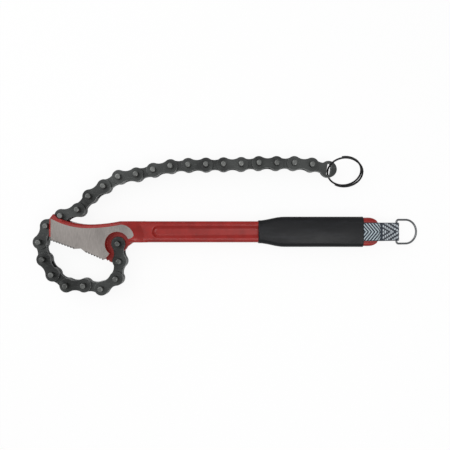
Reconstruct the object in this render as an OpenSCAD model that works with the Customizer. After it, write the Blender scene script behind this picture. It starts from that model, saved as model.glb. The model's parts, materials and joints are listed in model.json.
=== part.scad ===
// Chain pipe wrench: forged handle with a toothed jaw, bush chain hooked over the nose, sleeve and tether.
// Everything is drawn round the anchor pin, with the middle plane at z = 0, and then set on the pipe's axis.

/* [Chain] */
// Distance between two pins of a link
pitch = 19.05; // [18:0.05:20]
// Height of a plate at its round ends
plate_h = 15.2; // [13.5:0.1:16]
// Height of a plate at its waist
waist_h = 10.4; // [9:0.1:12]
// Thickness of every plate
plate_t = 2.4; // [1.8:0.1:2.6]
// Diameter of the pins
pin_d = 5.8; // [5:0.1:6.4]
// Outside diameter of the bushes
bush_d = 8.4; // [7.4:0.1:9]
// Space between the two plates of an inner link
inner_space = 2.2; // [1.6:0.1:2.6]
// Side gap between an outer plate and what it straddles
side_gap = 0.3; // [0.2:0.05:0.5]
// Radial clearance of a pin in its bush or bore
pin_clear = 0.08; // [0.04:0.01:0.1]
// Metal round the hole in the end link's eye
eye_wall = 2.8; // [2:0.1:3.2]
// Radial room round the split ring's wire in the eye
eye_clear = 0.5; // [0.4:0.05:0.8]

/* [Head] */
// Thickness of the head, and length of the pins
head_t = 25; // [23:0.5:28]
// Nose front, ahead of the hooked pin
nose_reach = 12; // [10.5:0.1:14]
// Front lower corner of the jaw, above the anchor pin
jaw_front_y = 4.5; // [3:0.1:6]
// Lowest point of the hollow back, ahead of the anchor pin
back_low_x = -31.5; // [-36:0.5:-27]
// Lowest point of the hollow back, above the anchor pin
back_low_y = 20.8; // [19.5:0.1:22]
// Radius of the hollow back ahead of its lowest point
back_front_r = 75; // [70:1:85]
// Radius of the hollow back behind its lowest point
back_rear_r = 170; // [150:1:200]
// Rounding along the top edges of the head
rim_r = 4; // [2:0.1:5]
// Chamfer along the front of the nose
nose_chamfer = 2.2; // [1:0.1:3]
// Radius of the pocket round the anchor pin
pocket_r = 12.8; // [12:0.1:13.5]
// Radius of the hook-shaped cheek end round the pocket
cheek_end_r = 14; // [13.5:0.1:16]
// Radius of the web's boss round the anchor pin
boss_r = 9.6; // [8:0.1:10.5]
// Width of the slope from the cheek down to the shank
neck_slope = 10; // [6:0.5:14]
// Gap between the hooked pin and its seat
seat_gap = 0.35; // [0.2:0.05:0.6]
// Room for the chain in the nose slot, on each side
slot_gap = 0.5; // [0.3:0.05:0.8]
// Pitch of the jaw teeth
tooth_pitch = 3.2; // [2.6:0.1:4]
// Depth of the jaw teeth
tooth_depth = 1.5; // [0.8:0.1:2]

/* [Handle] */
// Length from the nose to the butt
handle_len = 355.6; // [330:0.1:380]
// Middle line of the handle above the anchor pin
shank_y = 12.85; // [12:0.05:14]
// Height of the shank
shank_h = 22.9; // [21.5:0.1:24]
// Thickness of the shank and butt
shank_t = 15; // [13:0.1:17]
// Rounding of the shank's edges
shank_r = 4; // [2:0.1:5]
// Start of the recessed panel behind the anchor pin
panel_x = 36.6; // [32:0.1:45]
// Height of the recessed panel
panel_h = 12.5; // [10:0.1:14]
// Depth of the recessed panel on each face
panel_depth = 3; // [1.5:0.1:4]
// Slope of the panel's walls, across the handle
panel_slope = 1.8; // [0.5:0.1:3]
// Height of the butt
butt_h = 30.9; // [28:0.1:33]
// Length over which the shank widens into the butt
flare_len = 28; // [20:1:40]
// Corner radius of the butt's end
butt_corner_r = 13; // [9:0.1:14]
// Chamfer on the faces at the butt's end
butt_chamfer = 4; // [2:0.1:5]

/* [Sleeve and tether] */
// Length of the shrink sleeve
sleeve_len = 113; // [100:1:130]
// Bare butt left behind the sleeve
butt_bare = 18.3; // [15:0.1:20]
// Sleeve wall above and below the handle
sleeve_wall = 1; // [0.8:0.1:2]
// Sleeve wall on the two faces of the handle
sleeve_face = 2.2; // [2:0.1:3]
// Width of the strap
strap_w = 20; // [18:0.1:21]
// Thickness of the strap
strap_t = 1.4; // [1:0.1:1.6]
// Length of strap held under the sleeve
strap_held = 15; // [8:0.5:25]
// Bar of the D-ring, behind the butt
ring_bar_x = 21.5; // [19:0.1:26]
// Bar of the D-ring, above the middle plane
ring_bar_z = -5.5; // [-7:0.1:-4]
// Wire of the D-ring
d_wire = 2.2; // [1.8:0.1:2.6]
// Inside width of the D-ring
d_width = 24; // [21.5:0.1:25]
// Depth of the D-ring, from its bar to the far end, wire centre to wire centre
d_depth = 24.5; // [18:0.1:26]
// Wire of the split ring
split_wire = 1.7; // [1.3:0.1:1.8]
// Diameter of the split ring at the wire's centre
split_d = 36; // [32:0.5:38]

/* [Place] */
// Axis of the gripped pipe, behind the anchor pin
pipe_x = -41; // [-45:0.5:-37]
// Axis of the gripped pipe, above the anchor pin
pipe_y = -24; // [-27:0.5:-21]

/* [Hidden] */
$fn = 48;

// How the chain lies: heading of each link, from the anchor pin to the free end
headings = [
    -86, -101, -146, -190, -180, -218, -239, -258, -294, -325, -340, -310, -325,
    -328, -352, -345, -348, -356, -359, -359, -359, -357, -360, -360, -365, -374
];
links = len(headings);
hooked_pin = 10;
function along(a, d) = [d * cos(a), d * sin(a)];
function pivot(k) = k < 1 ? [0, 0] : pivot(k - 1) + along(headings[k - 1], pitch);

// Chain sizes across the middle plane
pin_r = pin_d / 2;
plate_r = plate_h / 2;
inner_z = inner_space / 2;
web_t = inner_space + 2 * plate_t;
outer_z = web_t / 2 + side_gap;
slot_half = outer_z + plate_t + slot_gap;

// Waist arc of a plate, drawn a little wider than the arc that just meets the round ends
waist_arc_r = ((pitch / 2) ^ 2 + (waist_h / 2) ^ 2 - plate_r ^ 2) / (plate_h - waist_h) + 0.3;
function waist_end(r) = [pitch / 2, waist_h / 2 + waist_arc_r] * r / (r + waist_arc_r);

// Head outline
face_z = head_t / 2;
hook = pivot(hooked_pin);
first_joint = pivot(1);
nose_x = hook.x - nose_reach;
shank_top = shank_y + shank_h / 2;
shank_low = shank_y - shank_h / 2;
back_rear_x = back_low_x + sqrt(back_rear_r ^ 2 - (back_rear_r - shank_top + back_low_y) ^ 2);
seat_r = pin_r + seat_gap;
seat_lean = 45;
horn_h = 2.3;
horn_top_w = 1.6;
horn_slope = 4;
front_low = [nose_x, jaw_front_y];
row_1_end = [nose_x + 27.4, jaw_front_y - 9.8];
step_start = row_1_end + [7.4, 0.4];
step_end = step_start + [5.7, -4.4];
joint_relief_r = plate_r + 0.6;
heel = [first_joint.x - joint_relief_r - 0.2, first_joint.y - 1.4];
cheek_corner = [-9.1, -12.1];
cheek_cut_heading = 224;
cheek_end = [4, 6.5];
neck_end_x = cheek_end.x + cheek_end_r + neck_slope + 4;
slot_lean = 30;
slot_clear = 0.8;
slot_drop = plate_r + slot_clear + max(0, (pivot(hooked_pin - 1) - hook) * along(slot_lean - 90, 1));

// Handle stations along x
butt_x = nose_x + handle_len;
sleeve_end_x = butt_x - butt_bare;
sleeve_x = sleeve_end_x - sleeve_len;
flare_x = sleeve_x + flare_len;
panel_end_x = sleeve_x + 10;
flare_mid = 0.3;
mid_h = shank_h + (butt_h - shank_h) * 0.2;

// Strap and rings
strap_gap = 0.05;
strap_lead = 0.3;
loop_r = d_wire / 2 + 0.3;
bar = [butt_x + ring_bar_x, ring_bar_z];
strap_z = shank_t / 2 + strap_gap;
strap_bend = [butt_x - butt_chamfer + strap_lead, strap_z + strap_t / 2];
strap_fall = atan2(bar.y - strap_bend.y, bar.x - strap_bend.x);
strap_run = norm(bar - strap_bend);
fold_len = strap_run * 0.73;
d_corner_r = 2.5;
d_tilt = asin((bar.y + face_z - d_wire / 2) / d_depth);
split_heading = -8;
split_turns = 1.62;
split_lead = split_wire + 0.25;
split_low = norm([split_d / 2, split_lead / 4]);
split_tilt = asin((face_z - split_wire / 2) / split_low) - atan2(split_lead / 4, split_d / 2);
eye_r = web_t / 2 / tan(split_tilt) + split_wire / 2 / sin(split_tilt) + eye_clear;

outer_names = [for (i = [1 : 13]) str("outer_plates_", i < 10 ? "0" : "", i)];
pin_names = [for (i = [1 : 13]) str("pins_", i < 10 ? "0" : "", i)];
inner_names = [for (i = [1 : 13]) str("inner_plates_", i < 10 ? "0" : "", i)];
bush_names = [for (i = [1 : 13]) str("bushes_", i < 10 ? "0" : "", i)];

// Sets the part on the plane it lies on, with the pipe's axis at the origin
module placed() {
    translate([-pipe_x, -pipe_y, face_z]) children();
}

// Puts a link at its pin, along its heading
module at_link(k) {
    translate(concat(pivot(k), [0])) rotate(headings[k]) children();
}

module both_sides() {
    children();
    mirror([0, 0, 1]) children();
}

// Chain

// Waisted plate, with a round end of radius r_0 at its first pin and r_1 at its second
module plate_outline(r_0, r_1) {
    t_0 = waist_end(r_0);
    t_1 = waist_end(r_1);
    circle(r_0);
    translate([pitch, 0]) circle(r_1);
    difference() {
        polygon([
            [t_0.x, -t_0.y], [pitch - t_1.x, -t_1.y],
            [pitch - t_1.x, t_1.y], [t_0.x, t_0.y]
        ]);
        for (s = [-1, 1])
            translate([pitch / 2, s * (waist_h / 2 + waist_arc_r)]) circle(waist_arc_r, $fn = 96);
    }
}

module plate_pair(z, hole_0, hole_1, r_1 = plate_r) {
    both_sides()
        translate([0, 0, z])
            linear_extrude(plate_t)
                difference() {
                    plate_outline(plate_r, r_1);
                    circle(d = hole_0);
                    translate([pitch, 0]) circle(d = hole_1);
                }
}

// Riveted pin with eased ends
module pin() {
    ease = pin_d / 10;
    rotate_extrude()
        polygon([
            [0, -face_z], [pin_r - ease, -face_z], [pin_r, ease - face_z],
            [pin_r, face_z - ease], [pin_r - ease, face_z], [0, face_z]
        ]);
}

module bush() {
    difference() {
        cylinder(d = bush_d, h = web_t, center = true);
        cylinder(r = pin_r + pin_clear, h = web_t + 1, center = true);
    }
}

module outer_plates(k) {
    color("#3c3f40") placed() at_link(k) plate_pair(outer_z, pin_d, pin_d);
}

module pins(k) {
    color("#8f9394") placed() at_link(k) for (x = [0, pitch]) translate([x, 0, 0]) pin();
}

module inner_plates(k) {
    last = k == links - 1;
    hole = last ? 2 * eye_r : bush_d;
    end_r = last ? eye_r + eye_wall : plate_r;
    color("#303334") placed() at_link(k) plate_pair(inner_z, bush_d, hole, end_r);
}

module bushes(k) {
    last = k == links - 1;
    color("#4a4d4e") placed() at_link(k) for (x = last ? [0] : [0, pitch]) translate([x, 0, 0]) bush();
}

// Handle

// Rounded rectangle in y and z, ready to be drawn out along x
function round_corner(cx, cy, r, a) = [for (i = [0 : 6]) [cx, cy] + along(a + 15 * i, r)];
function round_rect(h, t, r) = concat(
    round_corner(h / 2 - r, t / 2 - r, r, 0), round_corner(r - h / 2, t / 2 - r, r, 90),
    round_corner(r - h / 2, r - t / 2, r, 180), round_corner(h / 2 - r, r - t / 2, r, 270)
);

module bar_along_x(x_0, x_1, h, t, r) {
    translate([x_0, shank_y, 0]) rotate([90, 0, 90]) linear_extrude(x_1 - x_0) polygon(round_rect(h, t, r));
}

// Smooth widening from the shank to the butt, grown by up in height and by side in thickness
module flare(up, side) {
    slice = 0.01;
    x_mid = sleeve_x + flare_len * flare_mid;
    stations = [[sleeve_x, shank_h], [x_mid, mid_h], [flare_x, butt_h]];
    for (i = [0, 1])
        hull()
            for (s = [stations[i], stations[i + 1]])
                bar_along_x(s[0] - slice, s[0], s[1] + 2 * up, shank_t + 2 * side, shank_r + up);
}

// Outline of the head, from the nose to the neck
module head_outline() {
    difference() {
        union() {
            polygon([
                front_low, row_1_end, step_start, step_end, heel, along(-70, boss_r), [boss_r, shank_low],
                [neck_end_x, shank_low], [neck_end_x, shank_top], [back_low_x, shank_top],
                hook + [seat_r, horn_h], hook + [horn_top_w - nose_reach + horn_slope, horn_h],
                hook + [0.4 - nose_reach, -horn_slope]
            ]);
            circle(boss_r);
            polygon([along(-20, boss_r), [boss_r + 6, shank_low], [0, shank_low]]);
        }
        hollow_back();
        hook_seat();
        translate(first_joint) circle(joint_relief_r);
    }
}

// Hollow of the back: two arcs that share their lowest point
module hollow_back() {
    high = 60;
    intersection() {
        translate([back_low_x, back_low_y + back_front_r]) circle(back_front_r, $fn = 200);
        translate([hook.x, 0]) square([back_low_x - hook.x, high]);
    }
    intersection() {
        translate([back_low_x, back_low_y + back_rear_r]) circle(back_rear_r, $fn = 200);
        translate([back_low_x, 0]) square([back_rear_x - back_low_x + 1, high]);
    }
}

// Seat of the hooked pin: open upwards, with the horn's face leaning away from the chain's pull
module hook_seat() {
    wall = hook - along(seat_lean, seat_r * 0.99);
    reach = 3 * nose_reach;
    translate(hook) circle(seat_r);
    polygon([hook, wall, wall + along(seat_lean + 90, reach), hook + [0, reach]]);
}

// Rows of jaw teeth between two points of the outline
module tooth_row(a, b) {
    run = b - a;
    count = floor(norm(run) / tooth_pitch);
    translate(a)
        rotate(atan2(run.y, run.x))
            for (i = [0 : count - 1])
                translate([i * tooth_pitch, 0])
                    polygon([[0, -0.4], [tooth_pitch * 0.92, -0.4], [tooth_pitch * 0.35, tooth_depth]]);
}

// What the cheeks leave free round the anchor pin
module pocket_outline() {
    far = 60;
    circle(pocket_r);
    polygon([
        [0, 0], cheek_corner, cheek_corner + along(cheek_cut_heading, far), [far, -far],
        [far, shank_low - 0.02], [pocket_r - 1, shank_low - 0.02]
    ]);
}

// Quarter-round cutter for an edge at radius 0 and height 0, a little past both faces of the edge
rim_over = 0.05;
function rim_section(r) = concat(
    [[-1, 1], [r, 1]],
    [for (i = [0 : 5]) [r - rim_over, rim_over - r] + along(90 + 18 * i, r)],
    [[-1, rim_over - r]]
);

module rim_arc(centre, radius, from, to) {
    both_sides()
        translate([centre.x, centre.y, face_z])
            rotate(from)
                rotate_extrude(angle = to - from, $fn = 200)
                    translate([radius, 0]) polygon(rim_section(rim_r));
}

module head_rims() {
    front_turn = asin((back_low_x - hook.x - seat_r) / back_front_r);
    fade = 6;
    rear_turn = asin((back_rear_x - back_low_x) / back_rear_r) + fade;
    rim_arc([back_low_x, back_low_y + back_front_r], back_front_r, 270 - front_turn, 270);
    rim_arc([back_low_x, back_low_y + back_rear_r], back_rear_r, 270, 270 + rear_turn);
    chamfer_bar = [nose_chamfer, handle_len, nose_chamfer] * sqrt(2);
    both_sides() translate([nose_x, 0, face_z]) rotate([0, 45, 0]) cube(chamfer_bar, center = true);
}

// Slot that the chain runs through, between the two cheeks of the nose
module nose_slot() {
    floor_at = hook + along(slot_lean - 90, slot_drop);
    long = 80;
    translate([floor_at.x, floor_at.y, 0])
        rotate(slot_lean)
            translate([-long / 2, 0, -slot_half]) cube([long, long, 2 * slot_half]);
}

// Forged head, with its cheeks, web, teeth and seat
module head() {
    cone_r = cheek_end_r + neck_slope * face_z / (face_z - shank_t / 2);
    module slab(x_0, x_1, t) {
        translate([x_0, -handle_len / 2, -t / 2]) cube([x_1 - x_0, handle_len, t]);
    }
    intersection() {
        difference() {
            linear_extrude(head_t, center = true)
                difference() {
                    head_outline();
                    tooth_row(front_low, row_1_end);
                    tooth_row(step_end, heel);
                }
            head_rims();
            both_sides() translate([0, 0, web_t / 2]) linear_extrude(head_t) pocket_outline();
            nose_slot();
            cylinder(r = pin_r + pin_clear, h = head_t, center = true);
        }
        union() {
            slab(nose_x - 1, cheek_end.x, head_t + 1);
            translate([cheek_end.x, cheek_end.y, 0]) {
                cylinder(r = cheek_end_r, h = head_t + 1, center = true);
                both_sides() cylinder(r1 = cone_r, r2 = cheek_end_r, h = face_z);
            }
        }
        union() {
            slab(nose_x - 1, back_rear_x, head_t + 1);
            bar_along_x(0, neck_end_x, shank_h, head_t, shank_r);
            slab(0, neck_end_x, web_t);
        }
    }
}

// Recessed panel on one face of the shank, with sloping walls and round ends
module panel() {
    r = panel_h / 2;
    over = 1;
    low = r - panel_slope;
    high = r + panel_slope / panel_depth * over;
    z_low = shank_t / 2 - panel_depth;
    z_high = shank_t / 2 + over;
    module round_end(x) {
        translate([x, shank_y, z_low]) cylinder(r1 = low, r2 = high, h = panel_depth + over);
    }
    round_end(panel_x + r);
    round_end(panel_end_x - r);
    translate([panel_x + r, shank_y, 0])
        rotate([90, 0, 90])
            linear_extrude(panel_end_x - panel_x - panel_h)
                polygon([[-low, z_low], [low, z_low], [high, z_high], [-high, z_high]]);
}

// Rounded end of the butt
module butt() {
    half = butt_h / 2;
    r = butt_corner_r;
    z = shank_t / 2;
    intersection() {
        bar_along_x(flare_x - 0.01, butt_x, butt_h, shank_t, shank_r);
        linear_extrude(shank_t + 1, center = true)
            translate([0, shank_y])
                union() {
                    translate([flare_x - 1, -half - 1]) square([butt_x - r - flare_x + 1, butt_h + 2]);
                    translate([flare_x, r - half]) square([butt_x - flare_x, butt_h - 2 * r]);
                    for (s = [-1, 1]) translate([butt_x - r, s * (half - r)]) circle(r);
                }
        translate([0, shank_y + half + 1, 0])
            rotate([90, 0, 0])
                linear_extrude(butt_h + 2)
                    polygon([
                        [flare_x - 1, -z], [butt_x - butt_chamfer, -z], [butt_x, butt_chamfer - z],
                        [butt_x, z - butt_chamfer], [butt_x - butt_chamfer, z], [flare_x - 1, z]
                    ]);
    }
}

module handle() {
    color("#a3231d")
        placed() {
            difference() {
                union() {
                    head();
                    bar_along_x(cheek_end.x + cheek_end_r, sleeve_x, shank_h, shank_t, shank_r);
                    flare(0, 0);
                    butt();
                }
                both_sides() panel();
            }
        }
}

// Sleeve and tether

module sleeve() {
    fit = 0.04;
    color("#26272a")
        placed()
            difference() {
                union() {
                    flare(sleeve_wall, sleeve_face);
                    bar_along_x(
                        flare_x - 0.01, sleeve_end_x, butt_h + 2 * sleeve_wall,
                        shank_t + 2 * sleeve_face, shank_r + sleeve_wall
                    );
                }
                flare(fit, fit);
                bar_along_x(sleeve_x - 1, sleeve_x + 0.02, shank_h + 2 * fit, shank_t + 2 * fit, shank_r);
                bar_along_x(flare_x - 0.02, sleeve_end_x + 1, butt_h + 2 * fit, shank_t + 2 * fit, shank_r);
                translate([sleeve_end_x - strap_held - 0.5, shank_y - strap_w / 2 - 0.2, 0])
                    cube([strap_held + 1, strap_w + 0.4, strap_z + strap_t + strap_gap]);
            }
}

// Side view of the strap: flat on the butt, down to the D-ring's bar, round it and back on itself
module strap_profile() {
    difference() {
        union() {
            translate([sleeve_end_x - strap_held, strap_z])
                square([strap_bend.x - sleeve_end_x + strap_held, strap_t]);
            translate(strap_bend) circle(d = strap_t);
            translate(strap_bend)
                rotate(strap_fall) {
                    translate([0, -strap_t / 2]) square([strap_run - fold_len, strap_t]);
                    translate([strap_run, 0]) circle(loop_r + strap_t);
                    polygon([
                        [strap_run - fold_len - 0.1, -strap_t / 2], [strap_run - 8, -strap_t / 2],
                        [strap_run, -loop_r - strap_t], [strap_run, loop_r + strap_t],
                        [strap_run - 8, strap_t * 1.5], [strap_run - fold_len, strap_t * 1.5]
                    ]);
                }
        }
        translate(bar) circle(loop_r);
    }
}

module tether_strap() {
    color("#2a3c52")
        placed()
            translate([0, shank_y + strap_w / 2, 0])
                rotate([90, 0, 0]) linear_extrude(strap_w) strap_profile();
}

// Sewn line across the end of the folded strap
module strap_stitching() {
    count = 8;
    stitch = [0.7, 1.7, 0.35];
    row_x = strap_run - fold_len + 1.2;
    step = strap_w / (count + 0.4);
    first_y = -(count - 1) / 2 * step - stitch.y / 2;
    color("#141c26")
        placed()
            translate([strap_bend.x, shank_y, strap_bend.y])
                rotate([0, -strap_fall, 0])
                    for (i = [0 : count - 1])
                        translate([row_x, first_y + i * step, strap_t * 1.5]) cube(stitch);
}

// D-ring, drawn flat with its bar on the y axis
module d_ring_flat() {
    half = (d_width + d_wire) / 2;
    bow_x = d_depth - half;
    module wire_arc(r, from, turn) {
        rotate(from) rotate_extrude(angle = turn) translate([r, 0]) circle(d = d_wire, $fn = 24);
    }
    module wire_bar(a, b) {
        run = b - a;
        translate(concat(a, [0]))
            rotate([0, 90, atan2(run.y, run.x)]) cylinder(d = d_wire, h = norm(run), $fn = 24);
    }
    translate([bow_x, 0, 0]) wire_arc(half, -90, 180);
    for (s = [-1, 1]) {
        wire_bar([d_corner_r, s * half], [bow_x, s * half]);
        translate([d_corner_r, s * (half - d_corner_r), 0]) wire_arc(d_corner_r, s > 0 ? 90 : 180, 90);
    }
    wire_bar([0, d_corner_r - half], [0, half - d_corner_r]);
}

module d_ring() {
    color("#4b4d4f")
        placed() translate([bar.x, shank_y, bar.y]) rotate([0, d_tilt, 0]) d_ring_flat();
}

// Split ring: one wire wound about one and a half turns, with the single stretch in the eye
function split_ring_points(sides, rings) = [
    for (i = [0 : rings]) let (u = (i / rings - 0.5) * 360 * split_turns)
        for (j = [0 : sides - 1]) let (a = j * 360 / sides, r = split_d / 2 - split_wire / 2 * cos(a))
            [-r * cos(u), r * sin(u), u / 360 * split_lead - split_wire / 2 * sin(a)]
];

module split_ring() {
    sides = 10;
    rings = 60;
    turned = function(i, j) i * sides + j % sides;
    walls = [
        for (i = [0 : rings - 1], j = [0 : sides - 1])
            [turned(i, j), turned(i, j + 1), turned(i + 1, j + 1), turned(i + 1, j)]
    ];
    caps = [[for (j = [0 : sides - 1]) sides - 1 - j], [for (j = [0 : sides - 1]) rings * sides + j]];
    color("#161718")
        placed()
            translate(concat(pivot(links), [0]))
                rotate(split_heading)
                    rotate([split_tilt, 0, 0])
                        translate([split_d / 2, 0, 0])
                            polyhedron(split_ring_points(sides, rings), concat(walls, caps), convexity = 6);
}

handle();
sleeve();
tether_strap();
strap_stitching();
d_ring();
split_ring();
for (i = [0 : 12]) {
    outer_plates(2 * i);
    pins(2 * i);
    inner_plates(2 * i + 1);
    bushes(2 * i + 1);
}
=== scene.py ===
# %% [markdown]
# # Chain pipe wrench
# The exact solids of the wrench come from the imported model: a forged handle, twenty-six chain links on long
# pins, a sleeve, a tether strap and two rings. This lesson dresses them. Hard pieces are copies of their solids
# with softened edges and worked finishes; the sleeve, the webbing and the sewing are modelled here from
# primitives. Everything is in metres and lies where the solids lie.

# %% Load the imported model
import json
import math
import bpy
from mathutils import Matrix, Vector


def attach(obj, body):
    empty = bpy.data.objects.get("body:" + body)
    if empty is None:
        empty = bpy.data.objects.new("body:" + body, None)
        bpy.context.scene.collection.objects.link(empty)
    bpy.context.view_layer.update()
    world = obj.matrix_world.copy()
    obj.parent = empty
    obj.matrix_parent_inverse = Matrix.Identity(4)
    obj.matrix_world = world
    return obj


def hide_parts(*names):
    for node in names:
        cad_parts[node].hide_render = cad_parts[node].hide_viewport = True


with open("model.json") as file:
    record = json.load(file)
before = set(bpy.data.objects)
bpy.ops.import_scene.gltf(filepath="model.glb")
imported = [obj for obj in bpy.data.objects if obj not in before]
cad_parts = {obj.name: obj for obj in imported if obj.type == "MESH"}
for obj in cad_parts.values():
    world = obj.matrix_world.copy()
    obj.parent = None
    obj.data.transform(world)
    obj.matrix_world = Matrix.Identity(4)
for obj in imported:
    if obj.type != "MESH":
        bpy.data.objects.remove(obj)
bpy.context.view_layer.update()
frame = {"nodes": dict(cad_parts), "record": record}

# %% [markdown]
# ## Camera
# The picture was taken from straight above the tool, which lies on a white table. The camera stands above the
# middle of the picture and looks along its own minus Z, so it needs no turn at all. Its height and lens come
# from the pitch of the chain, which is known, and the places of the pins in the picture.

# %% Camera above the wrench
CAMERA_PLACE = (0.1561, 0.0442, 0.560)
CAMERA_LENS = 40.2
CAMERA_SENSOR = 36
bpy.ops.object.select_all(action="DESELECT")
bpy.ops.object.camera_add(location=CAMERA_PLACE, rotation=(0, 0, 0))
camera = bpy.context.object
camera.name = "camera_above"
camera.data.lens = CAMERA_LENS
camera.data.sensor_width = CAMERA_SENSOR
bpy.context.scene.camera = camera
bpy.context.scene.view_settings.view_transform = "Standard"
print("camera at", [round(v, 4) for v in camera.location])

# %% [markdown]
# ## Node helpers
# A finish is a small tree of shader nodes. Typing out every node and link hides the idea, so these helpers add
# a node with its sockets filled in. A value given as a socket is linked, any other value is set.

# %% Helpers for shader nodes
def new_finish(name):
    material = bpy.data.materials.new(name)
    material.use_nodes = True
    tree = material.node_tree
    return material, tree, tree.nodes["Principled BSDF"]


def fill(tree, node, sockets):
    for key, value in sockets.items():
        if isinstance(value, bpy.types.NodeSocket):
            tree.links.new(value, node.inputs[key])
        else:
            node.inputs[key].default_value = value
    return node


def add_node(tree, kind, sockets=None, **settings):
    node = tree.nodes.new(kind)
    for key, value in settings.items():
        setattr(node, key, value)
    return fill(tree, node, sockets or {})


def calc(tree, operation, a, b=0.0):
    return add_node(tree, "ShaderNodeMath", {0: a, 1: b}, operation=operation).outputs[0]


def plus(tree, a, b):
    return calc(tree, "ADD", a, b)


def less(tree, a, b):
    return calc(tree, "SUBTRACT", a, b)


def times(tree, a, b):
    return calc(tree, "MULTIPLY", a, b)


def either(tree, share, first, second):
    """The first value where the share is zero, the second where it is one"""
    return plus(tree, times(tree, first, less(tree, 1.0, share)), times(tree, second, share))


def between(tree, value, low, high, to_low=0.0, to_high=1.0):
    sockets = {"Value": value, "From Min": low, "From Max": high, "To Min": to_low, "To Max": to_high}
    return add_node(tree, "ShaderNodeMapRange", sockets).outputs[0]


def blend_colours(tree, factor, first, second):
    sockets = {0: factor, 6: first, 7: second}
    return add_node(tree, "ShaderNodeMix", sockets, data_type="RGBA").outputs[2]


def place_of(tree, scale=(1, 1, 1), turn=0.0):
    coordinates = add_node(tree, "ShaderNodeTexCoord").outputs["Object"]
    sockets = {"Vector": coordinates, "Scale": scale, "Rotation": (0, 0, turn)}
    return add_node(tree, "ShaderNodeMapping", sockets).outputs[0]


def grain(tree, scale, detail, stretch=(1, 1, 1), turn=0.0):
    sockets = {"Vector": place_of(tree, stretch, turn), "Scale": scale, "Detail": detail}
    return add_node(tree, "ShaderNodeTexNoise", sockets).outputs["Fac"]


def bump_from(tree, height, depth, strength):
    sockets = {"Height": height, "Distance": depth, "Strength": strength}
    return add_node(tree, "ShaderNodeBump", sockets).outputs[0]


def rgb(r, g, b):
    """Linear colour from the 0 to 255 values that a picture shows"""
    values = [v / 255 for v in (r, g, b)]
    return tuple(v / 12.92 if v < 0.04045 else ((v + 0.055) / 1.055) ** 2.4 for v in values) + (1,)


print("node helpers ready")

# %% [markdown]
# ## Table, sky and lamps
# The background is a plain white table. To keep it white without pouring more light on the tool, the floor and
# the sky show their own brightness to the rays that come from the camera, from gloss and from glass, and only
# ordinary light to the rest. The floor still takes a soft shadow.

# %% White table that keeps a soft shadow
WHITE = (1, 1, 1, 1)
TABLE_GREY = (0.9, 0.9, 0.9, 1)
TABLE_SIZE = 6
TABLE_PLACE = (0.15, 0.04, -0.0004)
TABLE_GLOW = 0.90


def seen_ray(tree):
    path = add_node(tree, "ShaderNodeLightPath")
    first = calc(tree, "MAXIMUM", path.outputs["Is Camera Ray"], path.outputs["Is Glossy Ray"])
    return calc(tree, "MAXIMUM", first, path.outputs["Is Transmission Ray"])


bpy.ops.object.select_all(action="DESELECT")
bpy.ops.mesh.primitive_plane_add(size=TABLE_SIZE, location=TABLE_PLACE)
table = bpy.context.object
table.name = "table"
table_white = bpy.data.materials.new("table_white")
table_white.use_nodes = True
tree = table_white.node_tree
tree.nodes.clear()
dull = add_node(tree, "ShaderNodeBsdfDiffuse", {"Color": TABLE_GREY}).outputs[0]
glow = add_node(tree, "ShaderNodeEmission", {"Color": WHITE, "Strength": 1.0}).outputs[0]
share = times(tree, seen_ray(tree), TABLE_GLOW)
lit = add_node(tree, "ShaderNodeMixShader", {0: share, 1: dull, 2: glow}).outputs[0]
add_node(tree, "ShaderNodeOutputMaterial", {"Surface": lit})
table.data.materials.append(table_white)
print("table", [round(v, 2) for v in table.dimensions])

# %% [markdown]
# The sky fills the shadows evenly, and three soft boxes give the calm light of a catalogue picture: a wide one
# at the upper left, where the ground steel is brightest, a smaller one at the lower right for the shank and the
# sleeve, and a narrow one high above the tail, whose glare falls on the middle links.

# %% Sky and three soft boxes
SKY_LIGHT = 0.45
SKY_SEEN = 0.6
SKY_FOR_CAMERA = 0.35
world = bpy.data.worlds.new("studio")
bpy.context.scene.world = world
world.use_nodes = True
tree = world.node_tree
camera_ray = add_node(tree, "ShaderNodeLightPath").outputs["Is Camera Ray"]
extra = times(tree, camera_ray, SKY_FOR_CAMERA)
strength = between(tree, seen_ray(tree), 0.0, 1.0, SKY_LIGHT, SKY_SEEN)
fill(tree, tree.nodes["Background"], {"Color": WHITE, "Strength": plus(tree, strength, extra)})


def soft_box(name, place, aim, size, watts):
    bpy.ops.object.select_all(action="DESELECT")
    bpy.ops.object.light_add(type="AREA", location=place)
    lamp = bpy.context.object
    lamp.name = name
    lamp.data.shape = "DISK"
    lamp.data.size = size
    lamp.data.energy = watts
    lamp.rotation_euler = (Vector(aim) - Vector(place)).to_track_quat("-Z", "Y").to_euler()


soft_box("main_box", place=(-0.75, 0.60, 0.85), aim=(0.12, 0.04, 0), size=1.8, watts=12.5)
soft_box("low_box", place=(0.38, -0.22, 0.80), aim=(0.22, 0.04, 0), size=0.5, watts=2.2)
soft_box("top_box", place=(0.165, 0.28, 1.10), aim=(0.16, 0.11, 0), size=0.22, watts=0.8)

# %% [markdown]
# ## Working on copies of the solids
# A solid from CAD has knife-sharp edges and comes as loose triangles. Real edges catch the light because they
# are broken a little in the press, in the grinding drum or by wear. So each hard piece is copied, its triangles
# are joined into whole faces, and a narrow bevel goes along every sharp edge. The bevel faces take a material
# slot of their own, because that is where paint rubs off and oxide turns bright. Level faces are shaded flat,
# so that the bevel beside them can't bend their light.

# %% Helpers for the copies
FLAT_ANGLE = math.radians(0.3)
LEVEL_NORMAL = 0.9995
BROKEN_SMOOTH = 40


def only(piece):
    bpy.ops.object.select_all(action="DESELECT")
    piece.select_set(True)
    bpy.context.view_layer.objects.active = piece


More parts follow.
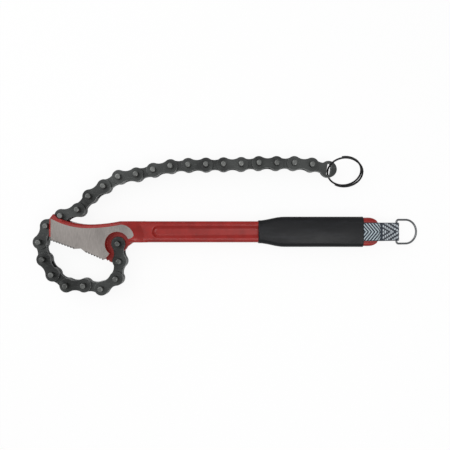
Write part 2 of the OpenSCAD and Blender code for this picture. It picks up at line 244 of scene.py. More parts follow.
def copy_of_solid(node, name, merge=1e-6):
    only(frame["nodes"][node])
    bpy.ops.object.duplicate()
    piece = bpy.context.object
    piece.name = name
    for key in list(piece.keys()):
        del piece[key]
    piece.parent = None
    piece.data.materials.clear()
    bpy.ops.mesh.customdata_custom_splitnormals_clear()
    bpy.ops.object.mode_set(mode="EDIT")
    bpy.ops.mesh.select_all(action="SELECT")
    bpy.ops.mesh.remove_doubles(threshold=merge)
    bpy.ops.mesh.dissolve_limited(angle_limit=FLAT_ANGLE)
    bpy.ops.object.mode_set(mode="OBJECT")
    return piece


def apply_all(piece):
    only(piece)
    for modifier in list(piece.modifiers):
        bpy.ops.object.modifier_apply(modifier=modifier.name)


def smooth(piece, degrees):
    only(piece)
    bpy.ops.object.shade_smooth_by_angle(angle=math.radians(degrees))


def sharp_edges(piece, degrees):
    only(piece)
    bpy.ops.object.mode_set(mode="EDIT")
    bpy.ops.mesh.select_mode(type="EDGE")
    bpy.ops.mesh.select_all(action="DESELECT")
    bpy.ops.mesh.edges_select_sharp(sharpness=math.radians(degrees))
    bpy.ops.object.mode_set(mode="OBJECT")
    return [edge for edge in piece.data.edges if edge.select]


def break_edges(piece, width, limit=35.0, wanted=None):
    """Bevel the sharp edges, or those of them that are wanted"""
    bevel = piece.modifiers.new("broken_edges", "BEVEL")
    bevel.width = width
    bevel.segments = 2
    bevel.limit_method = "ANGLE"
    bevel.angle_limit = math.radians(limit)
    bevel.material = 1
    if wanted:
        sharp = [edge.index for edge in sharp_edges(piece, limit)]
        weights = piece.data.attributes.new("bevel_weight_edge", "FLOAT", "EDGE")
        for index in sharp:
            ends = [piece.data.vertices[v].co for v in piece.data.edges[index].vertices]
            weights.data[index].value = wanted(*ends)
        bevel.limit_method = "WEIGHT"
        bevel.use_clamp_overlap = False
    apply_all(piece)
    smooth(piece, BROKEN_SMOOTH)
    for face in piece.data.polygons:
        face.use_smooth = abs(face.normal.z) < LEVEL_NORMAL


def hand_over(piece, body, slot, *nodes):
    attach(piece, body)
    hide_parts(*nodes)


print("copy helpers ready")

# %% [markdown]
# ## Red paint and ground cheeks
# The forging is dipped in red enamel and the two cheeks of the head are then ground flat, so they show steel
# with the wheel's streaks. One material does both: the height above the middle plane tells the ground faces
# from the rest, because nothing else on the handle stands that far out. Paint is left on the nose and on the
# round rim of the hollow back, and the ground crescent ends in a round tip behind the anchor. The walls of the
# jaw and the flanks of its teeth are cut, not ground, and are darker than the cheeks. Part of that dark tone is
# the cut steel and part is painted shade along the lower edge of the jaw.

# %% Masks of the ground cheeks and the jaw
MIDDLE = 0.0125
GROUND = 0.01244
SOFT = 0.0001
NOSE_PAINT_X = -0.0296
NOSE_PAINT_Y = 0.0516
BACK_LOW = (0.0095, 0.0448)
BACK_RADII = (0.075, 0.170)
RIM_PAINT = 0.0039
TIP = (0.05336, 0.03536)
TIP_R = 0.00575
JAW_SLOPE = 0.3577
JAW_LINE = 0.0208
JAW_SPAN = (-0.05, 0.028)
TOOTH_ROWS = ((JAW_SLOPE, 0.01845, (JAW_SPAN[0], -0.0045)), (0.464, 0.0201, (0.0075, JAW_SPAN[1])))


def away_from(tree, x, y, centre):
    """Distance from a point, as seen from above"""
    sockets = {0: add_node(tree, "ShaderNodeCombineXYZ", {0: x, 1: y}).outputs[0], 1: (*centre, 0)}
    return add_node(tree, "ShaderNodeVectorMath", sockets, operation="DISTANCE").outputs["Value"]


def below_rim(tree, x, y, radius):
    """One where the paint on the round rim of the hollow back has ended"""
    away = away_from(tree, x, y, (BACK_LOW[0], BACK_LOW[1] + radius))
    return between(tree, away, radius + RIM_PAINT, radius + RIM_PAINT + SOFT)


def past_tip(tree, x, y):
    """One outside the round tip of the ground crescent behind the anchor"""
    behind = between(tree, x, TIP[0] - SOFT, TIP[0])
    below = between(tree, y, TIP[1], TIP[1] - SOFT)
    clear = between(tree, away_from(tree, x, y, TIP), TIP_R, TIP_R + SOFT)
    return times(tree, times(tree, behind, below), clear)


def ground_mask(tree, x, y, z):
    """Ground cheeks: the outermost height, short of the painted nose, the rim of the back and the tip"""
    out = calc(tree, "ABSOLUTE", less(tree, z, MIDDLE))
    height = between(tree, out, GROUND, GROUND + SOFT / 2)
    nose = times(tree, between(tree, x, NOSE_PAINT_X, NOSE_PAINT_X + SOFT),
                 between(tree, y, NOSE_PAINT_Y, NOSE_PAINT_Y - SOFT))
    rear = between(tree, x, BACK_LOW[0] - SOFT, BACK_LOW[0])
    rim = either(tree, rear, *[below_rim(tree, x, y, radius) for radius in BACK_RADII])
    return times(tree, height, times(tree, nose, less(tree, rim, past_tip(tree, x, y))))


def below_line(tree, x, y, slope, limit, span):
    """One below a slanting line, within a span along the handle"""
    line = plus(tree, y, times(tree, x, slope))
    start = between(tree, x, span[0], span[0] + SOFT)
    end = between(tree, x, span[1], span[1] - SOFT)
    return times(tree, between(tree, line, limit, limit - SOFT), times(tree, start, end))


print("masks ready, ground beyond", GROUND, "from the middle plane")

# %% [markdown]
# The paint has a fine orange-peel skin over the lumps of the forging. The streaks are a noise that is stretched
# along the path of the wheel, over a second, broad one. Where edges are broken the paint is paler and duller.

# %% Finish of the forging
CHEEK_TONES = (rgb(90, 86, 83), rgb(156, 150, 146))
# Dark tones of the jaw walls and the tooth strip: partly cut steel, partly painted shade of the jaw edge
WALL_AND_SHADE_TONES = (rgb(46, 44, 43), rgb(98, 94, 91))
FLANK_AND_SHADE_TONE = rgb(74, 71, 69)
STEEL_ROUGH = 0.36
STREAK_ROUGH = 0.12
STEEL_METAL = 0.65


def forging_finish(name, paint, shade, rough):
    material, tree, surface = new_finish(name)
    x, y, z = add_node(tree, "ShaderNodeSeparateXYZ", {0: place_of(tree)}).outputs
    ground = ground_mask(tree, x, y, z)
    jaw = below_line(tree, x, y, JAW_SLOPE, JAW_LINE, JAW_SPAN)
    teeth = [below_line(tree, x, y, *row) for row in TOOTH_ROWS]
    bare_and_shaded = calc(tree, "MAXIMUM", ground, jaw)
    lumps = grain(tree, scale=90, detail=2)
    skin = grain(tree, scale=1400, detail=2)
    streaks = grain(tree, scale=1.0, detail=4, stretch=(2600, 140, 400), turn=math.radians(-14))
    broad = grain(tree, scale=26, detail=2, stretch=(1.0, 0.45, 1.0), turn=math.radians(-20))
    tone = between(tree, plus(tree, times(tree, streaks, 0.55), broad), 0.45, 1.0)
    cheek = blend_colours(tree, tone, *CHEEK_TONES)
    # The tooth strip of the cheeks and the jaw walls are painted darker: partly cut steel, partly painted shade
    flanks_and_shade = blend_colours(tree, calc(tree, "MAXIMUM", *teeth), cheek, FLANK_AND_SHADE_TONE)
    wall_and_shade = blend_colours(tree, streaks, *WALL_AND_SHADE_TONES)
    steel = blend_colours(tree, ground, wall_and_shade, flanks_and_shade)
    red = blend_colours(tree, between(tree, lumps, 0.35, 0.65), shade, paint)
    gloss = between(tree, ground, 0, 1, to_low=rough, to_high=STEEL_ROUGH)
    peel = plus(tree, times(tree, skin, 0.12), lumps)
    fill(tree, surface, {
        "Base Color": blend_colours(tree, bare_and_shaded, red, steel),
        "Metallic": times(tree, ground, STEEL_METAL),
        "Roughness": plus(tree, gloss, times(tree, streaks, STREAK_ROUGH)),
        "Normal": bump_from(tree, peel, depth=0.00022, strength=0.6),
        "Specular IOR Level": 0.32, "Coat Weight": 0.06, "Coat Roughness": 0.22,
    })
    return material


red_enamel = forging_finish("red_enamel", rgb(146, 30, 25), rgb(129, 25, 20), 0.28)
rubbed_enamel = forging_finish("rubbed_enamel", rgb(158, 48, 40), rgb(122, 34, 28), 0.42)
print("forging finish", len(red_enamel.node_tree.nodes), "nodes")

# %% [markdown]
# ## Handle
# The long panel in each face of the shank is pressed into the forging, so its rims are round. They are rounded
# first, each rim with a radius of its own: a small one at the face, where the land beside the panel is narrow,
# and a larger one at the floor. The other long edges are then broken. The teeth stay sharp, and the thin end of
# the back's rim has no room for a bevel. At the end no point may stand out past the ground cheeks.

# %% Handle forging with soft panel rims and broken edges
AXIS_Y = 0.03685
PANEL_X = (0.0774, 0.2022)
PANEL_REACH = 0.0064
PANEL_FACE = 0.0075
PANEL_FLOOR = 0.0045
FACE_RIM_R = 0.0009
FLOOR_RIM_R = 0.0019
RIM_ANGLE = 25
RIM_ERROR = 2e-5
TOOTH_END_X = 0.033
THIN_END = (0.0438, 0.043)
THIN_REACH = 0.004
SHORT_EDGE = 0.0007
FORGING_MERGE = 0.00006
FORGING_EDGE = 0.0003
FORGING_ANGLE = 30


def on_panel_rim(place, level):
    inside = PANEL_X[0] < place.x < PANEL_X[1] and abs(place.y - AXIS_Y) < PANEL_REACH
    return inside and abs(abs(place.z - MIDDLE) - level) < RIM_ERROR


def round_panel_rims(piece, level, width):
    """Round the rims of both panels that lie at one distance from the middle plane"""
    rims = sharp_edges(piece, RIM_ANGLE)
    points = piece.data.vertices
    rims = [edge for edge in rims if all(on_panel_rim(points[v].co, level) for v in edge.vertices)]
    for part in (*points, *piece.data.edges, *piece.data.polygons):
        part.select = False
    for edge in rims:
        edge.select = True
        for end in edge.vertices:
            points[end].select = True
    print("panel rim edges", len(rims))
    bpy.ops.object.mode_set(mode="EDIT")
    bpy.ops.mesh.bevel(offset=width, segments=4, affect="EDGES", clamp_overlap=False)
    bpy.ops.mesh.select_mode(type="VERT")
    bpy.ops.object.mode_set(mode="OBJECT")


def worth_breaking(a, b):
    """Long edges away from the teeth and from the thin end of the back's rim"""
    middle = (a + b) / 2
    tooth = middle.y + JAW_SLOPE * middle.x < JAW_LINE and middle.x < TOOTH_END_X
    thin = abs(middle.x - THIN_END[0]) < THIN_REACH and middle.y > THIN_END[1]
    return float((a - b).length > SHORT_EDGE and not tooth and not thin)


forging = copy_of_solid("handle", "handle_forging", FORGING_MERGE)
forging.data.materials.append(red_enamel)
forging.data.materials.append(rubbed_enamel)
round_panel_rims(forging, PANEL_FACE, FACE_RIM_R)
round_panel_rims(forging, PANEL_FLOOR, FLOOR_RIM_R)
break_edges(forging, FORGING_EDGE, FORGING_ANGLE, worth_breaking)
for vertex in forging.data.vertices:
    vertex.co.z = min(2 * MIDDLE, max(0, vertex.co.z))
hand_over(forging, "handle", "red_paint", "handle")
print("handle faces", len(forging.data.polygons))

# %% [markdown]
# ## Oxide-black chain
# Chain plates are blanked from strip, tumbled and blackened in hot oxide. The faces are a satin grey-black that
# changes a little from plate to plate, the tumbled edges are brighter, and the riveted pin ends are the
# brightest. A noise with long waves gives each plate its own tone because it reads the place in the tool.

# %% Finishes of plates, pins and bushes
def oxide_finish(name, dark, pale, rough, metal=0.75):
    material, tree, surface = new_finish(name)
    broad = grain(tree, scale=34, detail=2)
    fine = grain(tree, scale=900, detail=4)
    rubs = between(tree, grain(tree, scale=260, detail=5, stretch=(1, 2.2, 1), turn=0.5), 0.56, 0.72)
    tone = plus(tree, between(tree, broad, 0.38, 0.62, to_high=0.7), times(tree, fine, 0.35))
    tone = plus(tree, tone, times(tree, rubs, 0.5))
    fill(tree, surface, {
        "Base Color": blend_colours(tree, tone, dark, pale),
        "Metallic": metal,
        "Roughness": between(tree, fine, 0.3, 0.7, to_low=rough - 0.06, to_high=rough + 0.08),
        "Normal": bump_from(tree, fine, depth=0.00006, strength=0.5),
    })
    return material


outer_oxide = oxide_finish("outer_oxide", rgb(32, 33, 33), rgb(67, 69, 68), 0.42)
inner_oxide = oxide_finish("inner_oxide", rgb(34, 35, 35), rgb(68, 70, 69), 0.44)
bright_edge = oxide_finish("bright_edge", rgb(60, 61, 61), rgb(108, 110, 109), 0.38, 0.85)
pin_face = oxide_finish("pin_face", rgb(66, 67, 66), rgb(106, 108, 106), 0.40, 0.85)
pin_rim = oxide_finish("pin_rim", rgb(72, 73, 72), rgb(118, 120, 118), 0.38, 0.85)
bush_oxide = oxide_finish("bush_oxide", rgb(58, 60, 61), rgb(92, 95, 95), 0.40)
print("chain finishes", [m.name for m in bpy.data.materials if "oxide" in m.name])

# %% [markdown]
# Outer and inner links alternate, thirteen of each. The record of the model tells which body a solid rides on.
# The bushes lie between the plates, where no edge of theirs shows, so they keep their solids and take a finish.

# %% Plates and pins of every link
PAIRS = 13
PLATE_EDGE = 0.0003
PIN_EDGE = 0.0004


def link_body(node):
    return next(name for name, body in frame["record"]["behaviour"]["bodies"].items() if node in body)


def link_piece(node, name, slot, face, edge, width):
    piece = copy_of_solid(node, name)
    piece.data.materials.append(face)
    piece.data.materials.append(edge)
    break_edges(piece, width)
    hand_over(piece, link_body(node), slot, node)


for number in range(1, PAIRS + 1):
    tag = "%02d" % number
    link_piece("outer_plates_" + tag, "outer_pair_" + tag, "outer_plate_steel",
               outer_oxide, bright_edge, PLATE_EDGE)
    link_piece("inner_plates_" + tag, "inner_pair_" + tag, "inner_plate_steel",
               inner_oxide, bright_edge, PLATE_EDGE)
    link_piece("pins_" + tag, "pin_pair_" + tag, "pin_steel", pin_face, pin_rim, PIN_EDGE)
    bushes = frame["nodes"]["bushes_" + tag]
    bushes.data.materials.clear()
    bushes.data.materials.append(bush_oxide)

# %% [markdown]
# The last link has an open eye for the split ring. In the picture that link lies twisted and hardly anything
# shows through its eye. Here it lies flat, so the round eye of the solid is drawn in to a slot across the
# chain. Only the points round the eye move, and the broken lip keeps its width.

# %% Eye of the end link
EYE_R = 0.0060
EYE_REACH = 0.0074
SLOT = (-0.0015, 0.0024)
swing = next(j for j in frame["record"]["behaviour"]["joints"] if j["name"] == "split_ring_swing")
eye = Vector(swing["pos_m"])
ahead = Vector(swing["axis"]).normalized()
aside = Vector((-ahead.y, ahead.x, 0))
end_pair = bpy.data.objects["inner_pair_13"]
moved = 0
for vertex in end_pair.data.vertices:
    off = vertex.co - eye
    reach = off.dot(ahead)
    radius = math.hypot(reach, off.dot(aside))
    if radius < EYE_REACH:
        lip = max(0, radius - EYE_R)
        vertex.co += ahead * (min(SLOT[1] + lip, max(SLOT[0] - lip, reach)) - reach)
        moved += 1
print("eye points moved", moved)

# %% [markdown]
# ## Sleeve
# The sleeve is a length of black plastic tube, shrunk with hot air over the butt and over the end of the strap.
# Shrunk tube has round shoulders, a slightly thicker lip at each end and a low swelling over whatever is
# trapped beneath it. Each ring of it is a rounded rectangle. A ring of the skin is given by its place along the
# handle and by how far it is drawn in there.

# %% Rings of the sleeve
FACE_STEPS = 8
CORNER_STEPS = 11
SLIM_HALF, FULL_HALF = 0.01245, 0.01645
TAPER_X, TAPER_RUN = 0.192, 0.028
SKIN_LOW, SKIN_HIGH = 0.0028, 0.0221
SKIN_CORNER = 0.0045
SWELL, SWELL_X, SWELL_RUN = 0.0001, 0.297, 0.008
END_CROWN, MORE_CROWN = 0.0013, 0.0011
CROWN_X, CROWN_RUN = 0.287, 0.012
WALL = 0.00092
BORE_LOW, BORE_HIGH = 0.00494, 0.02006
BORE_CORNER = 0.0032
OVER_STRAP_X, OVER_STRAP_HIGH, OVER_STRAP_CORNER = 0.2892, 0.0216, 0.0055
INSET = 0.00012
FRONT_LIP = [(0.1920, 0.0009), (0.1921, 0.0004), (0.1925, 0.0001), (0.1932, 0.0), (0.1945, INSET)]
REAR_LIP = [(0.2998, INSET), (0.3030, 0.0001), (0.3040, 0.0), (0.3046, 0.0001), (0.3049, 0.0004),
            (0.3050, 0.0007)]
SKIN_X, SKIN_STEP, SKIN_RINGS = 0.197, 0.004, 26
BORE_X = (0.3049, 0.2894, 0.2888, 0.25, 0.220, 0.213, 0.206, 0.199, 0.1921)


def clip(t):
    return min(1, max(0, t))


def ease(t):
    return (1 - math.cos(math.pi * t)) / 2


def rounded_ring(x, half, low, high, top_r, low_r, crown=0.0):
    """Points of a rounded rectangle across the handle, with its two faces crowned"""
    flat = [1 - 2 * i / FACE_STEPS for i in range(1, FACE_STEPS)]
    arc = [math.radians(90 * i / CORNER_STEPS) for i in range(CORNER_STEPS + 1)]
    ring = [(half - top_r + top_r * math.cos(a), high - top_r + top_r * math.sin(a)) for a in arc]
    ring += [((half - top_r) * t, high) for t in flat]
    ring += [(-(half - top_r) - top_r * math.sin(a), high - top_r + top_r * math.cos(a)) for a in arc]
    ring += [(-(half - low_r) - low_r * math.cos(a), low + low_r - low_r * math.sin(a)) for a in arc]
    ring += [(-(half - low_r) * t, low) for t in flat]
    ring += [(half - low_r + low_r * math.sin(a), low + low_r - low_r * math.cos(a)) for a in arc]
    middle = (low + high) / 2
    drop = [crown * (y / half) ** 2 * (z - middle) * 2 / (high - low) for y, z in ring]
    return [(x, AXIS_Y + y, z - d) for (y, z), d in zip(ring, drop)]


def sleeve_half(x):
    return SLIM_HALF + (FULL_HALF - SLIM_HALF) * ease(clip((x - TAPER_X) / TAPER_RUN))


def skin_ring(x, shrink):
    swell = SWELL * math.exp(-((x - SWELL_X) / SWELL_RUN) ** 2)
    corner = SKIN_CORNER - shrink * 0.5
    crown = END_CROWN + MORE_CROWN * clip((CROWN_X - x) / CROWN_RUN)
    half = sleeve_half(x) - shrink
    return rounded_ring(x, half, SKIN_LOW + shrink, SKIN_HIGH + swell - shrink, corner, corner, crown)


def bore_ring(x):
    high, corner = (OVER_STRAP_HIGH, OVER_STRAP_CORNER) if x > OVER_STRAP_X else (BORE_HIGH, BORE_CORNER)
    return rounded_ring(x, sleeve_half(x) - WALL, BORE_LOW, high, corner, BORE_CORNER)


outside = FRONT_LIP + [(SKIN_X + SKIN_STEP * i, INSET) for i in range(SKIN_RINGS)] + REAR_LIP
rings = [skin_ring(x, shrink) for x, shrink in outside]
rings += [bore_ring(x) for x in BORE_X]
print("sleeve rings", len(rings))

# %% [markdown]
# The rings are lofted: one primitive circle is extruded ring by ring along the handle, out over the skin and
# back along the inside. The first and the last ring are bridged, which closes the wall of the tube.

# %% Loft of the sleeve
SLEEVE_SMOOTH = 50


def loft(name, rings):
    bpy.ops.object.select_all(action="DESELECT")
    bpy.ops.mesh.primitive_circle_add(vertices=len(rings[0]), location=(0, 0, 0))
    piece = bpy.context.object
    piece.name = name
    for vertex, place in zip(piece.data.vertices, rings[0]):
        vertex.co = place
    size = len(rings[0])
    for row, ring in enumerate(rings[1:], 1):
        bpy.ops.object.mode_set(mode="EDIT")
        bpy.ops.mesh.extrude_region_move()
        bpy.ops.object.mode_set(mode="OBJECT")
        for index, place in enumerate(ring):
            piece.data.vertices[row * size + index].co = place
    for edge in piece.data.edges:
        rows = [v // size for v in edge.vertices]
        edge.select = rows[0] == rows[1] and rows[0] in (0, len(rings) - 1)
    bpy.ops.object.mode_set(mode="EDIT")
    bpy.ops.mesh.select_mode(type="EDGE")
    bpy.ops.mesh.bridge_edge_loops()
    bpy.ops.mesh.select_mode(type="VERT")
    bpy.ops.mesh.select_all(action="SELECT")
    bpy.ops.mesh.normals_make_consistent(inside=False)
    bpy.ops.object.mode_set(mode="OBJECT")
    return piece


sleeve = loft("shrunk_sleeve", rings)
smooth(sleeve, SLEEVE_SMOOTH)
print("sleeve faces", len(sleeve.data.polygons))

# %% [markdown]
# The tube is a satin polyolefin: nearly black, with a soft sheen that breaks up over very small waves, and a
# few long rubs from hands and benches. Waves of about a centimetre come from the shrinking.

# %% Finish of the sleeve
black_tube, tree, surface = new_finish("black_tube")
waves = grain(tree, scale=110, detail=2, stretch=(0.5, 1, 1))
pores = grain(tree, scale=1800, detail=3)
rubs = between(tree, grain(tree, scale=150, detail=5, stretch=(0.25, 1.6, 1)), 0.5, 0.75)
skin = plus(tree, waves, times(tree, pores, 0.06))
fill(tree, surface, {
    "Base Color": blend_colours(tree, rubs, rgb(13, 14, 17), rgb(24, 25, 29)),
    "Roughness": between(tree, waves, 0.3, 0.7, to_low=0.36, to_high=0.48),
    "Normal": bump_from(tree, skin, depth=0.0004, strength=0.5),
    "Specular IOR Level": 0.22,
})
sleeve.data.materials.append(black_tube)
hand_over(sleeve, "handle", "black_sleeve", "sleeve")
print("sleeve finish", len(tree.nodes), "nodes")

# %% [markdown]
# ## Tether strap
# The strap is a narrow woven tape. It comes out from under the sleeve, bends over the end of the butt, goes
# round the bar of the D-ring and is sewn back on itself. It is one strip: a line is extruded along the path
# of the tape, given its thickness with Solidify, and its edges are rounded like a selvedge. The path is drawn
# from the side: a level run, the fall to the bar, the wrap round it, and the way back on top of the fall.

# %% Path of the tape, seen from the side
LAYER = 0.0014
START = Vector((0.2902, 0.02075))
BEND = Vector((0.3196, 0.02075))
BAR = Vector((0.3448, 0.0070))
BAR_ROOM = 0.0014
LOOP = BAR_ROOM + LAYER / 2
FOLD_SHARE = 0.865
SAG = 0.00004
CURL = 0.008
CURL_STEPS = (0.15, 0.3, 0.45, 0.6, 0.75, 0.9)
LEVEL_STEPS, FALL_STEPS, WRAP_STEPS, BACK_STEPS = 14, 10, 12, 12
run = (BAR - BEND).length
fall = (BAR - BEND).normalized()
rise = Vector((-fall.y, fall.x))
fold = run * FOLD_SHARE


def on_fall(u, v):
    return BEND + fall * u + rise * v


path = [START + (BEND - START) * (i / LEVEL_STEPS) for i in range(LEVEL_STEPS)]
for i in range(FALL_STEPS + 1):
    path.append(on_fall((run - CURL) * i / FALL_STEPS, -SAG * math.sin(math.pi * i / FALL_STEPS)))
path += [on_fall(run - CURL + CURL * t, -LOOP * ease(t)) for t in CURL_STEPS]
wrap_middle = len(path) + WRAP_STEPS // 2
for i in range(WRAP_STEPS + 1):
    turn = math.pi * i / WRAP_STEPS
    path.append(on_fall(run + LOOP * math.sin(turn), -LOOP * math.cos(turn)))
path += [on_fall(run - CURL * t, LOOP + (LAYER - LOOP) * ease(t)) for t in (*CURL_STEPS, 1.0)]
path += [on_fall(run - CURL - (fold - CURL) * i / BACK_STEPS, LAYER) for i in range(1, BACK_STEPS + 1)]
along = [0.0]
for a, b in zip(path, path[1:]):
    along.append(along[-1] + (b - a).length)
print("tape length", round(along[-1], 4), "over", len(path), "points")

# %% [markdown]
# A plane without its face and its far side is a line across the tape. It is cut into eight, so that the strip
# has faces of even shape, and extruded once for every point of the path.

# %% Strip of webbing
TAPE_W = 0.0198
TAPE_CUTS = 7
bpy.ops.object.select_all(action="DESELECT")
bpy.ops.mesh.primitive_plane_add(size=TAPE_W, location=(0, 0, 0))
tape = bpy.context.object
tape.name = "webbing_tape"
bpy.ops.object.mode_set(mode="EDIT")
bpy.ops.mesh.select_all(action="SELECT")
bpy.ops.mesh.delete(type="ONLY_FACE")
bpy.ops.object.mode_set(mode="OBJECT")
for vertex in tape.data.vertices:
    vertex.select = vertex.co.x > 0
bpy.ops.object.mode_set(mode="EDIT")
bpy.ops.mesh.delete(type="VERT")
bpy.ops.mesh.select_all(action="SELECT")
bpy.ops.mesh.subdivide(number_cuts=TAPE_CUTS)
bpy.ops.object.mode_set(mode="OBJECT")
offsets = [vertex.co.y for vertex in tape.data.vertices]
count = len(offsets)
for vertex in tape.data.vertices:
    vertex.co = (path[0].x, AXIS_Y + vertex.co.y, path[0].y)
for row, place in enumerate(path[1:], 1):
    bpy.ops.object.mode_set(mode="EDIT")
    bpy.ops.mesh.extrude_region_move()
    bpy.ops.object.mode_set(mode="OBJECT")
    for index in range(count):
        tape.data.vertices[row * count + index].co = (place.x, AXIS_Y + offsets[index], place.y)
print("strip of", len(tape.data.polygons), "faces")

# %% [markdown]
# The strip's UV map is measured in millimetres along and across the tape, so the weave follows every bend. It
# is made before the thickness, while each point still knows its row.

# %% UV in millimetres, thickness and selvedge
MM = 1000
TAPE_T = 0.00134
SELVEDGE_R = 0.00035
SELVEDGE_ANGLE = 50
TAPE_SMOOTH = 60
bpy.ops.object.mode_set(mode="EDIT")
bpy.ops.mesh.select_all(action="SELECT")
bpy.ops.mesh.normals_make_consistent(inside=False)
bpy.ops.object.mode_set(mode="OBJECT")
if tape.data.polygons[0].normal.z < 0:
    bpy.ops.object.mode_set(mode="EDIT")
    bpy.ops.mesh.flip_normals()
    bpy.ops.object.mode_set(mode="OBJECT")
layer = tape.data.uv_layers.get("weave") or tape.data.uv_layers.new(name="weave")
for loop in tape.data.loops:
    row, index = divmod(loop.vertex_index, count)
    layer.data[loop.index].uv = (along[row] * MM, offsets[index] * MM)
for other in [u.name for u in tape.data.uv_layers if u.name != "weave"]:
    tape.data.uv_layers.remove(tape.data.uv_layers[other])
thick = tape.modifiers.new("thickness", "SOLIDIFY")
thick.thickness = TAPE_T
thick.offset = 0
soft = tape.modifiers.new("selvedge", "BEVEL")
soft.width = SELVEDGE_R
soft.segments = 2
soft.limit_method = "ANGLE"
soft.angle_limit = math.radians(SELVEDGE_ANGLE)
apply_all(tape)
smooth(tape, TAPE_SMOOTH)
print("tape faces", len(tape.data.polygons))

# %% [markdown]
# The weave shows arrowheads on one face of the tape and slanting rows of short pale floats on the other, which
# is turned up where the strap folds back. Both are drawn from the UV map: stripes that lean with the distance
# from the middle line make arrowheads, and the same stripes cut into dashes along the tape make the floats.
# The selvedges and the sewn end stay plain. Fine ribs across the tape give the bump of the single threads. All
# lengths here are in millimetres, like the UV map.

# %% Finish of the webbing
ARROW_PITCH, ARROW_LEAN = 3.4, 0.84
FLOAT_PITCH, FLOAT_LEAN, FLOAT_STEP = 10.1, 2.25, 2.88
RIB_PITCH, CORD_PITCH = 0.8, 0.9
PLAIN_EDGE = (8.9, 9.3)
PLAIN_END = 1.8
END_BLUR, FOLD_BLUR = 0.2, 0.1


def wave(tree, value, period):
    return calc(tree, "SINE", times(tree, value, 2 * math.pi / period))


woven, tree, surface = new_finish("woven_tape")
uv = add_node(tree, "ShaderNodeUVMap", uv_map="weave").outputs[0]
far, wide = add_node(tree, "ShaderNodeSeparateXYZ", {0: uv}).outputs[:2]
off_middle = calc(tree, "ABSOLUTE", wide)
arrow_line = plus(tree, far, times(tree, off_middle, ARROW_LEAN))
float_line = less(tree, far, times(tree, off_middle, FLOAT_LEAN))
arrows = between(tree, wave(tree, arrow_line, ARROW_PITCH), -0.05, 0.4)
float_rows = between(tree, wave(tree, float_line, FLOAT_PITCH), -0.15, 0.1)
float_gaps = between(tree, wave(tree, far, FLOAT_STEP), -0.35, 0.1)
floats = times(tree, float_rows, float_gaps)
fold_start = along[wrap_middle] * MM
folded = between(tree, far, fold_start, fold_start + FOLD_BLUR)
seam_start = along[-1] * MM - PLAIN_END
bound = times(tree, between(tree, off_middle, PLAIN_EDGE[1], PLAIN_EDGE[0]),
              between(tree, far, seam_start, seam_start - END_BLUR))
face = times(tree, either(tree, folded, arrows, floats), bound)
fuzz = grain(tree, scale=1500, detail=3)
navy = blend_colours(tree, fuzz, rgb(10, 20, 34), rgb(28, 42, 60))
# On the folded layer the pale is lifted: partly paler float threads, partly painted light against the shade of
# its slope
pale = blend_colours(tree, plus(tree, fuzz, times(tree, folded, 0.8)), rgb(128, 150, 156), rgb(216, 226, 232))
knots = times(tree, wave(tree, far, RIB_PITCH), wave(tree, wide, CORD_PITCH))
threads = plus(tree, knots, times(tree, fuzz, 0.6))
fill(tree, surface, {
    "Base Color": blend_colours(tree, face, navy, pale),
    "Roughness": 0.78,
    "Sheen Weight": 0.25, "Sheen Roughness": 0.5,
    "Normal": bump_from(tree, plus(tree, threads, face), depth=0.0002, strength=0.7),
})
tape.data.materials.append(woven)
hand_over(tape, "handle", "webbing", "tether_strap")
print("webbing finish", len(tree.nodes), "nodes")

# %% [markdown]
# ## Sewing
# A row of dark stitches holds the folded end down. One stitch is a short cylinder, laid across the tape, with
# its ends rounded; it is made once for every place in the row, and the stitches are joined into one piece.

# %% Row of stitches
STITCHES = 6
STITCH_STEP = 0.0031
STITCH_R = 0.00042
STITCH_LENGTH = 0.0025
STITCH_END_R = 0.0003
STITCH_SINK = 0.00012
STITCH_SMOOTH = 50
SEAM_IN = 0.0012
TWIST_TURN, TWIST_PITCH = 0.6, 0.00035
thread_dark, tree, surface = new_finish("thread_dark")
twist_line = add_node(tree, "ShaderNodeSeparateXYZ", {0: place_of(tree, turn=TWIST_TURN)}).outputs[1]
twist = wave(tree, twist_line, TWIST_PITCH)
fill(tree, surface, {
    "Base Color": blend_colours(tree, between(tree, twist, -1, 1), rgb(12, 16, 24), rgb(34, 42, 56)),
    "Roughness": 0.7,
    "Normal": bump_from(tree, twist, depth=0.0001, strength=0.6),
})
seam = on_fall(run - fold + SEAM_IN, LAYER * 1.5 - STITCH_SINK)
slope = -math.atan2(fall.y, fall.x)
stitches = []
for number in range(STITCHES):
    side = STITCH_STEP * (number - (STITCHES - 1) / 2)
    bpy.ops.object.select_all(action="DESELECT")
    bpy.ops.mesh.primitive_cylinder_add(vertices=12, radius=STITCH_R, depth=STITCH_LENGTH,
                                        location=(seam.x, AXIS_Y + side, seam.y),
                                        rotation=(math.radians(90), slope, 0))
    stitch = bpy.context.object
    ends = stitch.modifiers.new("round_ends", "BEVEL")
    ends.width = STITCH_END_R
    ends.segments = 3
    apply_all(stitch)
    bpy.ops.object.transform_apply(location=True, rotation=True, scale=True)
    stitches.append(stitch)
bpy.ops.object.select_all(action="DESELECT")
for stitch in stitches:
    stitch.select_set(True)
bpy.context.view_layer.objects.active = stitches[0]
bpy.ops.object.join()
sewing = bpy.context.object
sewing.name = "sewing_row"
smooth(sewing, STITCH_SMOOTH)
sewing.data.materials.clear()
sewing.data.materials.append(thread_dark)
hand_over(sewing, "handle", "thread", "strap_stitching")
print("stitches", len(stitches))

# %% [markdown]
# ## Rings
# Both rings are bent from round wire. The D-ring is plated steel gone dull; the split ring is a spring coil
# with black oxide. Their solids are already round, so the copies are joined and shaded smooth, without bevels.

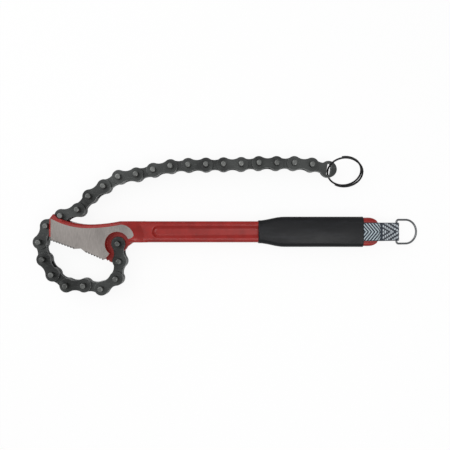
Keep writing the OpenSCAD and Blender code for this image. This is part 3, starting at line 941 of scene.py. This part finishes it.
# %% D-ring and split ring
WIRE_SMOOTH = 50
ring_dull = oxide_finish("ring_dull", rgb(66, 68, 70), rgb(112, 114, 116), 0.34, 0.9)
ring_black = oxide_finish("ring_black", rgb(10, 10, 11), rgb(26, 26, 27), 0.36, 0.6)
for node, name, slot, metal in (("d_ring", "d_ring_wire", "ring_steel", ring_dull),
                                ("split_ring", "split_ring_wire", "ring_black", ring_black)):
    wire = copy_of_solid(node, name)
    wire.data.materials.append(metal)
    smooth(wire, WIRE_SMOOTH)
    hand_over(wire, node, slot, node)
    print(name, len(wire.data.polygons), "faces")

# %% [markdown]
# The solid of the split ring has two plain turns, one on the other. In the picture the second turn springs
# outwards, so that both show, and the wire is a little thicker. To tell the turns apart, each point of the skin
# is given its angle along the wire: of the two angles that fit its direction, the right one puts the point one
# wire radius from the middle of the wire. Points beyond a quarter turn are then eased outwards, less towards
# the end of the wire, and the skin of the whole wire is fattened.

# %% Second turn of the split ring sprung outwards
RING_R = 0.018
WIRE_R = 0.00085
LEAD = 0.00195
TILT = math.radians(38.77)
SPREAD = 0.0017
SPREAD_FROM, SPREAD_RUN = 90, 80
CLOSE_FROM, CLOSE_RUN, CLOSE_SHARE = 200, 92, 0.6
SPREAD_AHEAD, SPREAD_DOWN = 0.94, 0.34
FATTEN = 0.00018
up_ring = aside * math.cos(TILT) + Vector((0, 0, math.sin(TILT)))
out_ring = ahead.cross(up_ring)


def turn_angle(place):
    """Degrees along the wire, from the eye outwards, for a point on the skin of the wire"""
    off = place - eye
    x, y, z = off.dot(ahead), off.dot(up_ring), off.dot(out_ring)
    first = math.degrees(math.atan2(y, RING_R - x)) % 360
    off_ring = math.hypot(RING_R - x, y) - RING_R

    def miss(angle):
        return abs(math.hypot(off_ring, z - angle / 360 * LEAD) - WIRE_R)
    return min((first, first - 360), key=miss)


split_wire = bpy.data.objects["split_ring_wire"]
sprung = 0
for vertex in split_wire.data.vertices:
    angle = turn_angle(vertex.co)
    if angle > SPREAD_FROM:
        closing = CLOSE_SHARE * max(0, (angle - CLOSE_FROM) / CLOSE_RUN)
        spread = SPREAD * ease(clip((angle - SPREAD_FROM) / SPREAD_RUN)) * (1 - closing)
        vertex.co += ahead * spread * SPREAD_AHEAD - up_ring * spread * SPREAD_DOWN
        sprung += 1
only(split_wire)
bpy.ops.object.mode_set(mode="EDIT")
bpy.ops.mesh.select_all(action="SELECT")
bpy.ops.transform.shrink_fatten(value=FATTEN)
bpy.ops.object.mode_set(mode="OBJECT")
print("points of the sprung turn", sprung, "of", len(split_wire.data.vertices))
